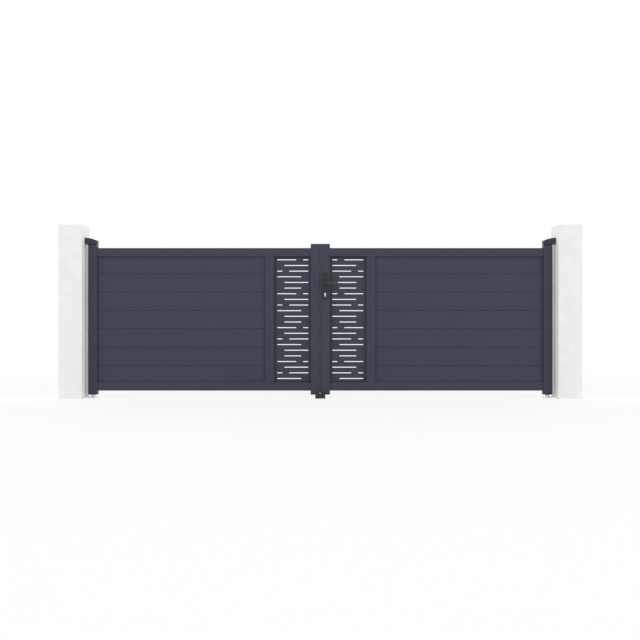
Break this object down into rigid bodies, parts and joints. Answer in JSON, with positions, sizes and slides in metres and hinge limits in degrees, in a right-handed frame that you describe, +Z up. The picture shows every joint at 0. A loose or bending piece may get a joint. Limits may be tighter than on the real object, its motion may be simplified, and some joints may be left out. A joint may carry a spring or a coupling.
{
  "type": "electric double swing gate",
  "caption": "Double-leaf swing gate of hollow aluminium boards with slotted panels beside the meeting stiles, a lever lock and hinge hoods, hung between rendered pillars.",
  "frame": {"origin": "middle of the left pillar's base, on the ground", "axes": "+X along the gate towards the right pillar, -Y the street side, +Z up"},
  "size_m": [4.4, 0.2, 1.465],
  "materials": {
    "anthracite_coat": "satin",
    "white_render": "matte",
    "anthracite_plastic": "matte",
    "black_plastic": "matte",
    "black_rubber": "matte",
    "galvanised_steel": "satin",
    "stainless_steel": "satin",
    "black_coat": "satin",
    "nickel_plate": "polished"
  },
  "bodies": {
    "posts": {"left_pillar": "white_render", "left_top_hinge": "galvanised_steel", "left_hinge_cover": "anthracite_plastic", "left_floor_pivot": "galvanised_steel", "right_pillar": "white_render", "right_top_hinge": "galvanised_steel", "right_hinge_cover": "anthracite_plastic", "right_floor_pivot": "galvanised_steel", "centre_stop": "black_plastic"},
    "left_leaf": {"left_hinge_stile": "anthracite_coat", "left_meeting_stile": "anthracite_coat", "left_mid_stile": "anthracite_coat", "left_top_rail": "anthracite_coat", "left_bottom_rail": "anthracite_coat", "left_stile_caps": "anthracite_plastic", "left_cut_panel": "anthracite_coat", "left_panel_gasket": "black_rubber", "left_board_1": "anthracite_coat", "left_board_2": "anthracite_coat", "left_board_3": "anthracite_coat", "left_board_4": "anthracite_coat", "left_board_5": "anthracite_coat", "left_board_6": "anthracite_coat", "left_board_7": "anthracite_coat"},
    "right_leaf": {"right_hinge_stile": "anthracite_coat", "right_meeting_stile": "anthracite_coat", "right_mid_stile": "anthracite_coat", "right_top_rail": "anthracite_coat", "right_bottom_rail": "anthracite_coat", "right_stile_caps": "anthracite_plastic", "right_cut_panel": "anthracite_coat", "right_panel_gasket": "black_rubber", "right_board_1": "anthracite_coat", "right_board_2": "anthracite_coat", "right_board_3": "anthracite_coat", "right_board_4": "anthracite_coat", "right_board_5": "anthracite_coat", "right_board_6": "anthracite_coat", "right_board_7": "anthracite_coat", "meeting_strip": "anthracite_coat", "lock_plates": "black_coat", "lock_cylinder": "nickel_plate", "lock_forend": "stainless_steel"},
    "handle": {"front_lever": "black_coat", "rear_lever": "black_coat"}
  },
  "joints": [
    {"name": "left_leaf_swing", "type": "hinge", "parent": "posts", "child": "left_leaf", "pos_m": [0.1655, 0, 0.03], "axis": [0, 0, 1], "range_deg": [0, 100]},
    {"name": "right_leaf_swing", "type": "hinge", "parent": "posts", "child": "right_leaf", "pos_m": [4.0345, 0, 0.03], "axis": [0, 0, -1], "range_deg": [0, 100]},
    {"name": "lever_turn", "type": "hinge", "parent": "right_leaf", "child": "handle", "pos_m": [2.141, 0, 0.977], "axis": [0, 1, 0], "range_deg": [0, 40], "stiffness_Nm_per_rad": 1.5, "springref_deg": -28.65}
  ]
}
